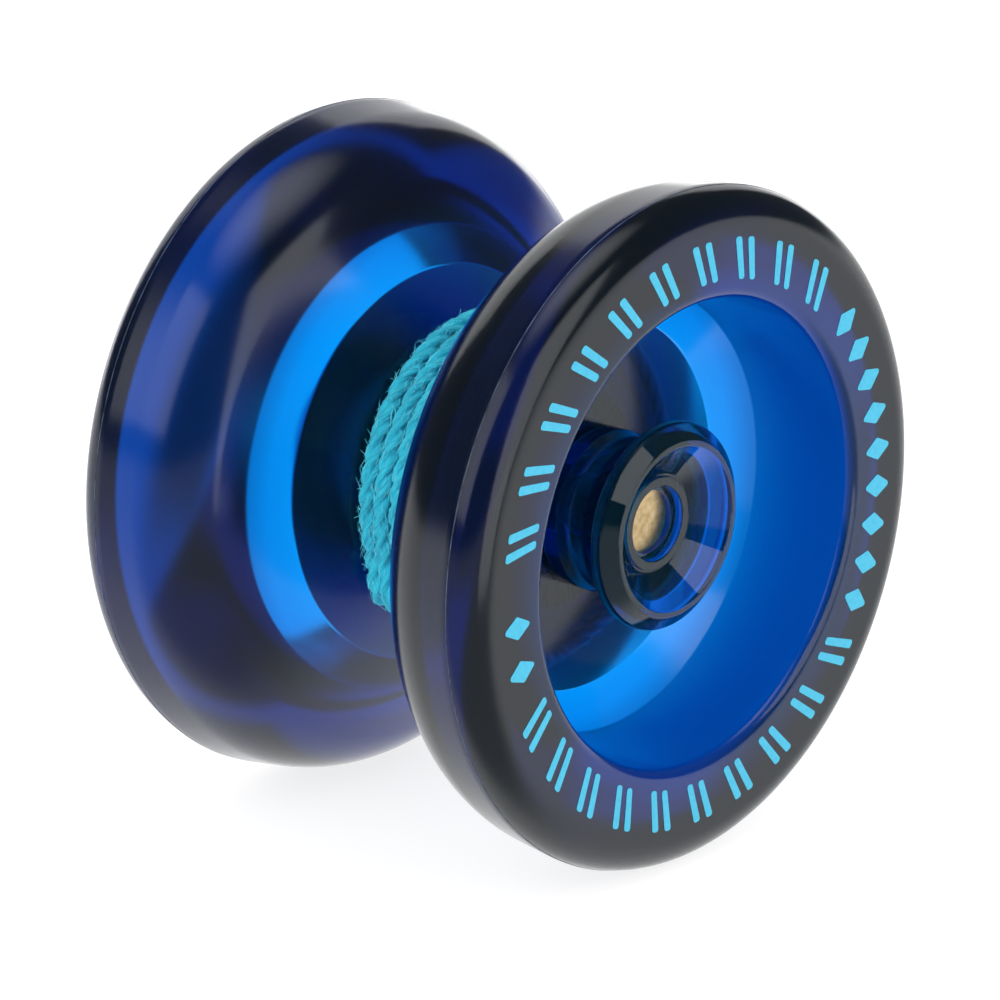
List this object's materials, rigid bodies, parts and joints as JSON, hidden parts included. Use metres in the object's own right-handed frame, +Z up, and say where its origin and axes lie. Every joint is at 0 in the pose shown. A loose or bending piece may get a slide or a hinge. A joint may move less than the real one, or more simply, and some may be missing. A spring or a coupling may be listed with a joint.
{
  "type": "yo-yo",
  "caption": "Bearing yo-yo with two deep-cupped clear blue plastic halves, a finger hub in each cup, and its string wound in the gap between them.",
  "frame": {"origin": "centre of the axle, midway between the two halves", "axes": "+Y along the axle towards the rear half, +Z up, +X to the right seen from the front; the front half is at -Y"},
  "size_m": [0.057, 0.0432, 0.057],
  "materials": {
    "blue_plastic": "clear tinted, polished, with moulding seam",
    "hub_plastic": "clear tinted, polished",
    "brass": "turned, satin",
    "spacer_metal": "turned",
    "silicone": "matte, translucent white",
    "screw_steel": "black oxide",
    "bearing_steel": "ground",
    "cage_brass": "pressed",
    "ball_steel": "polished",
    "string": "twisted polyester"
  },
  "bodies": {
    "rear_half": {"rear_shell": "blue_plastic", "rear_finger_hub": "hub_plastic", "rear_brass_insert": "brass", "rear_bearing_seat": "spacer_metal", "rear_response_pad": "silicone", "axle_screw": "screw_steel", "bearing_inner_race": "bearing_steel"},
    "front_seat": {"front_bearing_seat": "spacer_metal"},
    "front_half": {"front_shell": "blue_plastic", "front_finger_hub": "hub_plastic", "front_brass_insert": "brass", "front_response_pad": "silicone"},
    "string_spool": {"bearing_outer_race": "bearing_steel", "front_shield": "bearing_steel", "rear_shield": "bearing_steel", "front_snap_ring": "bearing_steel", "rear_snap_ring": "bearing_steel", "string_winding": "string", "string_knot": "string"},
    "ball_cage": {"bearing_cage": "cage_brass", "ball_1": "ball_steel", "ball_2": "ball_steel", "ball_3": "ball_steel", "ball_4": "ball_steel", "ball_5": "ball_steel", "ball_6": "ball_steel", "ball_7": "ball_steel", "ball_8": "ball_steel"}
  },
  "joints": [
    {"name": "front_unscrew", "type": "hinge", "parent": "front_seat", "child": "front_half", "pos_m": [0, 0, 0], "axis": [0, -1, 0], "range_deg": [0, 1980]},
    {"name": "seat_travel", "type": "slide", "parent": "rear_half", "child": "front_seat", "axis": [0, -1, 0], "range_m": [0, 0.00385]},
    {"name": "string_spin", "type": "hinge", "parent": "rear_half", "child": "string_spool", "pos_m": [0, 0, 0], "axis": [0, 1, 0], "continuous": true},
    {"name": "cage_spin", "type": "hinge", "parent": "rear_half", "child": "ball_cage", "pos_m": [0, 0, 0], "axis": [0, 1, 0], "continuous": true}
  ],
  "couplings": [
    {"joint": "seat_travel", "follows": "front_unscrew", "m_per_rad": 0.00011141},
    {"joint": "cage_spin", "follows": "string_spin", "ratio": 0.62493}
  ]
}
